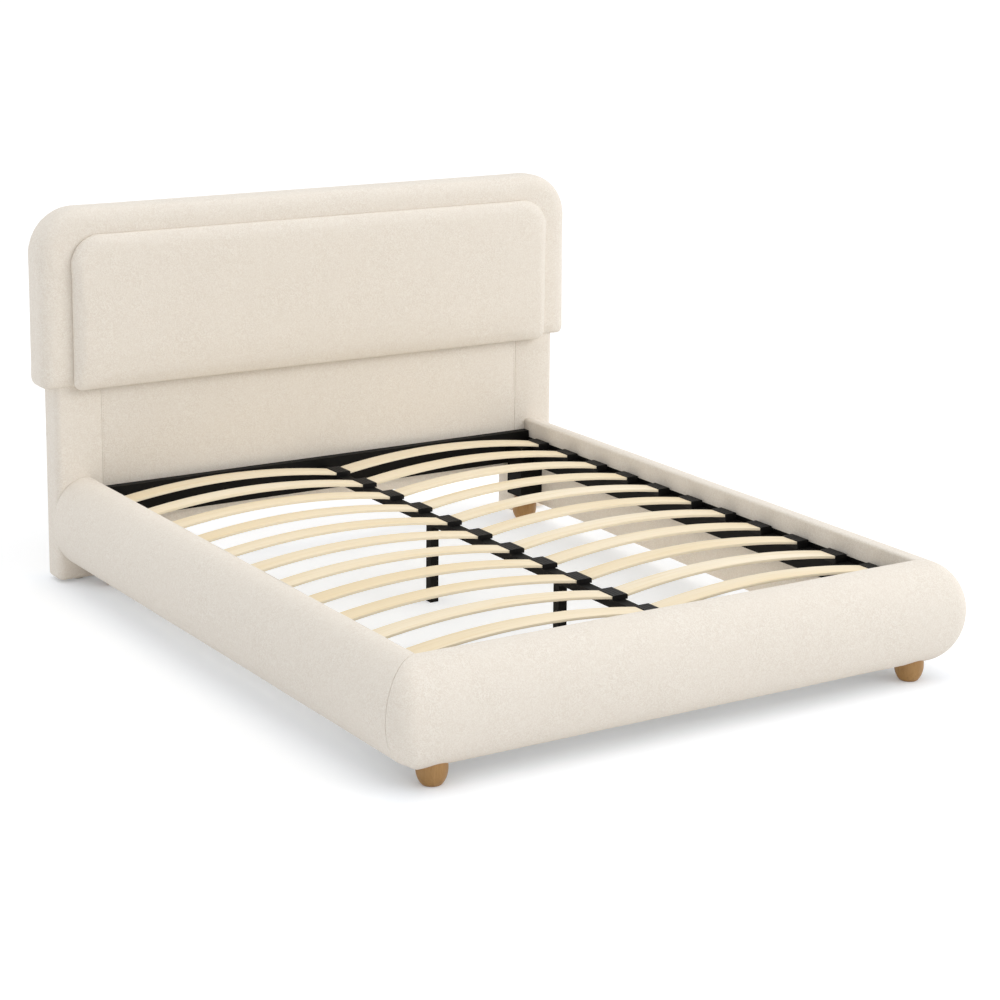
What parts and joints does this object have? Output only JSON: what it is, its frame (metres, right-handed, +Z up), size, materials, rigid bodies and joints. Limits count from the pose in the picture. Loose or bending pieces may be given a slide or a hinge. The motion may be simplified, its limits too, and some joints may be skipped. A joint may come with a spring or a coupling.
{
  "type": "upholstered headboard bed",
  "caption": "Double bed in pale boucle with a layered padded headboard, rolled side and foot rails, arched wooden slats on black steel and round wooden feet.",
  "frame": {"origin": "on the floor under the centre of the bed's bounding box", "axes": "+Z up, +Y from the foot of the bed to the headboard, +X across the bed, to the right of a person who stands at the foot and looks at the headboard"},
  "size_m": [1.926, 2.232, 1.182],
  "materials": {
    "boucle": "cream looped boucle, matt",
    "slat_birch": "bent birch plywood, satin lacquer",
    "frame_timber": "plain pine and plywood, unfinished",
    "foot_wood": "turned wood, oak stain, satin",
    "black_steel": "black powder coat, satin",
    "black_plastic": "moulded, matt",
    "dust_fleece": "non-woven dust cover, matt"
  },
  "bodies": {
    "root": {"centre_beam": "black_steel", "centre_cap_01": "black_plastic", "centre_cap_02": "black_plastic", "centre_cap_03": "black_plastic", "centre_cap_04": "black_plastic", "centre_cap_05": "black_plastic", "centre_cap_06": "black_plastic", "centre_cap_07": "black_plastic", "centre_cap_08": "black_plastic", "centre_cap_09": "black_plastic", "centre_cap_10": "black_plastic", "centre_cap_11": "black_plastic", "centre_leg_1": "black_steel", "centre_leg_2": "black_steel", "foot_cross_rail": "black_steel", "foot_rail_board": "frame_timber", "foot_rail_bolster": "boucle", "head_cross_rail": "black_steel", "headboard_back_pad": "boucle", "headboard_backing_board": "frame_timber", "headboard_dust_cover": "dust_fleece", "headboard_front_pad": "boucle", "headboard_lower_panel": "boucle", "left_foot_bun_foot": "foot_wood", "left_head_bun_foot": "foot_wood", "left_headboard_glide": "black_plastic", "left_headboard_post": "boucle", "left_rail_board": "frame_timber", "left_rail_bolster": "boucle", "left_side_ledge": "black_steel", "left_slat_01": "slat_birch", "left_slat_02": "slat_birch", "left_slat_03": "slat_birch", "left_slat_04": "slat_birch", "left_slat_05": "slat_birch", "left_slat_06": "slat_birch", "left_slat_07": "slat_birch", "left_slat_08": "slat_birch", "left_slat_09": "slat_birch", "left_slat_10": "slat_birch", "left_slat_11": "slat_birch", "right_foot_bun_foot": "foot_wood", "right_head_bun_foot": "foot_wood", "right_headboard_glide": "black_plastic", "right_headboard_post": "boucle", "right_rail_board": "frame_timber", "right_rail_bolster": "boucle", "right_side_ledge": "black_steel", "right_slat_01": "slat_birch", "right_slat_02": "slat_birch", "right_slat_03": "slat_birch", "right_slat_04": "slat_birch", "right_slat_05": "slat_birch", "right_slat_06": "slat_birch", "right_slat_07": "slat_birch", "right_slat_08": "slat_birch", "right_slat_09": "slat_birch", "right_slat_10": "slat_birch", "right_slat_11": "slat_birch"}
  },
  "joints": []
}
